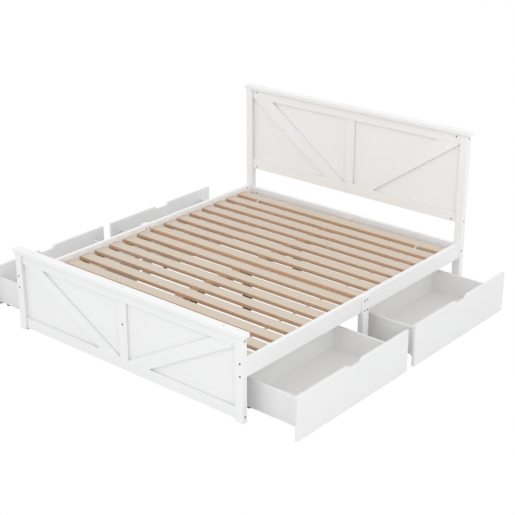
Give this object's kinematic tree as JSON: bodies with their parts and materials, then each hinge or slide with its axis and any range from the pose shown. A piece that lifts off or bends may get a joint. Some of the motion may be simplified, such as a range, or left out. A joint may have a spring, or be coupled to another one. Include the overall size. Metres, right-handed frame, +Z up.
{
  "type": "platform bed with storage drawers",
  "caption": "White framed platform bed with a panelled headboard and footboard, a slatted base, and rolling storage drawers under both sides.",
  "frame": {"origin": "floor level, in the middle of the whole bed's outline with its drawers out as they rest", "axes": "+Z up; +Y from the footboard towards the headboard; +X across the bed, towards the right as seen from the footboard"},
  "size_m": [2.442, 2.126, 1.073],
  "materials": {
    "white_paint": "satin white paint",
    "drawer_box_white": "smooth white laminate",
    "pine": "bare planed pine",
    "black_metal": "matt powder coat",
    "webbing": "woven tape",
    "fastener_steel": "dulled zinc",
    "white_plastic": "matt",
    "wheel_plastic": "matt",
    "bracket_metal": "matt dark"
  },
  "bodies": {
    "frame": {"barrel_nuts": "fastener_steel", "cap_plugs": "white_plastic", "centre_beam": "pine", "centre_legs": "black_metal", "foot_braces": "white_paint", "foot_cap": "white_paint", "foot_cross_rail": "white_paint", "foot_low_rail": "white_paint", "foot_panel": "white_paint", "foot_post_left": "white_paint", "foot_post_right": "white_paint", "foot_stile": "white_paint", "foot_top_rail": "white_paint", "frame_bolts": "fastener_steel", "head_braces": "white_paint", "head_cap": "white_paint", "head_cross_rail": "white_paint", "head_low_rail": "white_paint", "head_panel": "white_paint", "head_post_left": "white_paint", "head_post_right": "white_paint", "head_stile": "white_paint", "head_top_rail": "white_paint", "mid_cross_beam": "pine", "mid_legs": "white_paint", "side_rail_left_foot": "white_paint", "side_rail_left_head": "white_paint", "side_rail_right_foot": "white_paint", "side_rail_right_head": "white_paint", "slat_cleats": "pine", "slat_straps": "webbing", "slats": "pine"},
    "drawer_left_foot": {"drawer_left_foot_back": "drawer_box_white", "drawer_left_foot_casters": "bracket_metal", "drawer_left_foot_floor": "drawer_box_white", "drawer_left_foot_front": "white_paint", "drawer_left_foot_sides": "drawer_box_white"},
    "drawer_left_foot_wheels_front": {"drawer_left_foot_wheels_front": "wheel_plastic"},
    "drawer_left_foot_wheels_rear": {"drawer_left_foot_wheels_rear": "wheel_plastic"},
    "drawer_left_head": {"drawer_left_head_back": "drawer_box_white", "drawer_left_head_casters": "bracket_metal", "drawer_left_head_floor": "drawer_box_white", "drawer_left_head_front": "white_paint", "drawer_left_head_sides": "drawer_box_white"},
    "drawer_left_head_wheels_front": {"drawer_left_head_wheels_front": "wheel_plastic"},
    "drawer_left_head_wheels_rear": {"drawer_left_head_wheels_rear": "wheel_plastic"},
    "drawer_right_foot": {"drawer_right_foot_back": "drawer_box_white", "drawer_right_foot_casters": "bracket_metal", "drawer_right_foot_floor": "drawer_box_white", "drawer_right_foot_front": "white_paint", "drawer_right_foot_sides": "drawer_box_white"},
    "drawer_right_foot_wheels_front": {"drawer_right_foot_wheels_front": "wheel_plastic"},
    "drawer_right_foot_wheels_rear": {"drawer_right_foot_wheels_rear": "wheel_plastic"},
    "drawer_right_head": {"drawer_right_head_back": "drawer_box_white", "drawer_right_head_casters": "bracket_metal", "drawer_right_head_floor": "drawer_box_white", "drawer_right_head_front": "white_paint", "drawer_right_head_sides": "drawer_box_white"},
    "drawer_right_head_wheels_front": {"drawer_right_head_wheels_front": "wheel_plastic"},
    "drawer_right_head_wheels_rear": {"drawer_right_head_wheels_rear": "wheel_plastic"}
  },
  "joints": [
    {"name": "drawer_left_foot_slide", "type": "slide", "parent": "frame", "child": "drawer_left_foot", "axis": [-1, 0, 0], "range_m": [-0.36, 0.01]},
    {"name": "drawer_left_foot_wheels_front_roll", "type": "hinge", "parent": "drawer_left_foot", "child": "drawer_left_foot_wheels_front", "pos_m": [-1.149, -0.526, 0.02], "axis": [0, 1, 0], "continuous": true},
    {"name": "drawer_left_foot_wheels_rear_roll", "type": "hinge", "parent": "drawer_left_foot", "child": "drawer_left_foot_wheels_rear", "pos_m": [-0.813, -0.526, 0.02], "axis": [0, 1, 0], "continuous": true},
    {"name": "drawer_left_head_slide", "type": "slide", "parent": "frame", "child": "drawer_left_head", "axis": [-1, 0, 0], "range_m": [-0.36, 0.01]},
    {"name": "drawer_left_head_wheels_front_roll", "type": "hinge", "parent": "drawer_left_head", "child": "drawer_left_head_wheels_front", "pos_m": [-1.149, 0.518, 0.02], "axis": [0, 1, 0], "continuous": true},
    {"name": "drawer_left_head_wheels_rear_roll", "type": "hinge", "parent": "drawer_left_head", "child": "drawer_left_head_wheels_rear", "pos_m": [-0.813, 0.518, 0.02], "axis": [0, 1, 0], "continuous": true},
    {"name": "drawer_right_foot_slide", "type": "slide", "parent": "frame", "child": "drawer_right_foot", "axis": [1, 0, 0], "range_m": [-0.314, 0.056]},
    {"name": "drawer_right_foot_wheels_front_roll", "type": "hinge", "parent": "drawer_right_foot", "child": "drawer_right_foot_wheels_front", "pos_m": [1.149, -0.526, 0.02], "axis": [0, 1, 0], "continuous": true},
    {"name": "drawer_right_foot_wheels_rear_roll", "type": "hinge", "parent": "drawer_right_foot", "child": "drawer_right_foot_wheels_rear", "pos_m": [0.813, -0.526, 0.02], "axis": [0, 1, 0], "continuous": true},
    {"name": "drawer_right_head_slide", "type": "slide", "parent": "frame", "child": "drawer_right_head", "axis": [1, 0, 0], "range_m": [-0.314, 0.056]},
    {"name": "drawer_right_head_wheels_front_roll", "type": "hinge", "parent": "drawer_right_head", "child": "drawer_right_head_wheels_front", "pos_m": [1.149, 0.518, 0.02], "axis": [0, 1, 0], "continuous": true},
    {"name": "drawer_right_head_wheels_rear_roll", "type": "hinge", "parent": "drawer_right_head", "child": "drawer_right_head_wheels_rear", "pos_m": [0.813, 0.518, 0.02], "axis": [0, 1, 0], "continuous": true}
  ],
  "couplings": [
    {"joint": "drawer_left_foot_wheels_front_roll", "follows": "drawer_left_foot_slide", "rad_per_m": -50},
    {"joint": "drawer_left_foot_wheels_rear_roll", "follows": "drawer_left_foot_slide", "rad_per_m": -50},
    {"joint": "drawer_left_head_wheels_front_roll", "follows": "drawer_left_head_slide", "rad_per_m": -50},
    {"joint": "drawer_left_head_wheels_rear_roll", "follows": "drawer_left_head_slide", "rad_per_m": -50},
    {"joint": "drawer_right_foot_wheels_front_roll", "follows": "drawer_right_foot_slide", "rad_per_m": 50},
    {"joint": "drawer_right_foot_wheels_rear_roll", "follows": "drawer_right_foot_slide", "rad_per_m": 50},
    {"joint": "drawer_right_head_wheels_front_roll", "follows": "drawer_right_head_slide", "rad_per_m": 50},
    {"joint": "drawer_right_head_wheels_rear_roll", "follows": "drawer_right_head_slide", "rad_per_m": 50}
  ]
}
